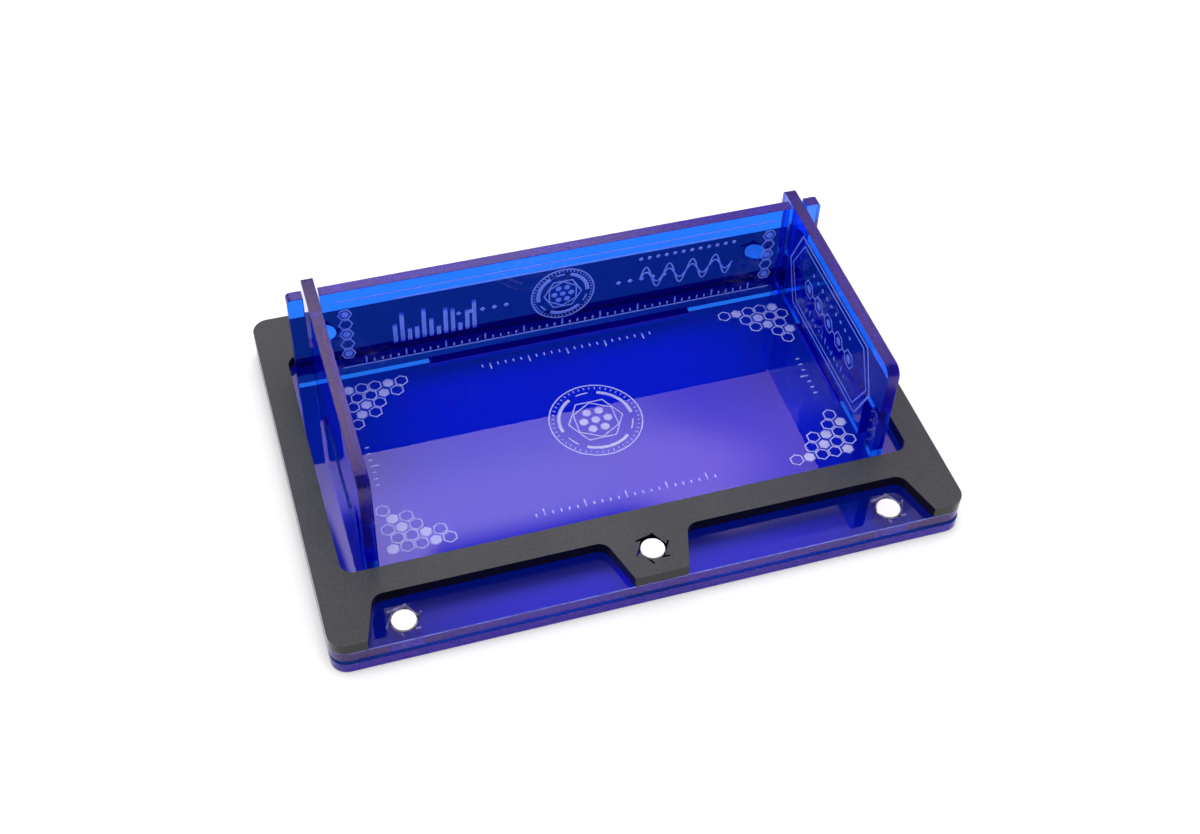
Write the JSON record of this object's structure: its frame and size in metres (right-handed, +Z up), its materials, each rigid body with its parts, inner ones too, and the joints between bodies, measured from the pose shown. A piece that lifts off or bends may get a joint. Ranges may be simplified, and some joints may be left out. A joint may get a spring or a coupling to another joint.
{
  "type": "dice tray",
  "caption": "Open-fronted tabletop dice tray of blue acrylic sheet with a black top frame, pull-out slotted walls and flush disc magnets for docking.",
  "frame": {"origin": "centre of the base's footprint, on the surface that the tray stands on", "axes": "+X to the right, +Y to the back wall, +Z up"},
  "size_m": [0.15, 0.103, 0.0358],
  "materials": {
    "blue_acrylic": "clear deep blue acrylic, polished faces, finely lined mauve laser-cut edges, frosted engraving",
    "black_acrylic": "satin charcoal-black acrylic",
    "magnet_nickel": "polished nickel plating"
  },
  "bodies": {
    "base": {"bottom_plate": "blue_acrylic", "floor_plate": "blue_acrylic", "top_frame": "black_acrylic", "magnet_front_left": "magnet_nickel", "magnet_front_right": "magnet_nickel", "magnet_front_centre": "magnet_nickel", "magnet_rear_left": "magnet_nickel", "magnet_rear_right": "magnet_nickel"},
    "back_wall": {"back_wall": "blue_acrylic"},
    "left_wall": {"left_wall": "blue_acrylic"},
    "right_wall": {"right_wall": "blue_acrylic"}
  },
  "joints": [
    {"name": "back_wall_lift", "type": "slide", "parent": "base", "child": "back_wall", "axis": [0, 0, 1], "range_m": [0, 0.035]},
    {"name": "left_wall_lift", "type": "slide", "parent": "back_wall", "child": "left_wall", "axis": [0, 0, 1], "range_m": [0, 0.035]},
    {"name": "right_wall_lift", "type": "slide", "parent": "back_wall", "child": "right_wall", "axis": [0, 0, 1], "range_m": [0, 0.035]}
  ]
}
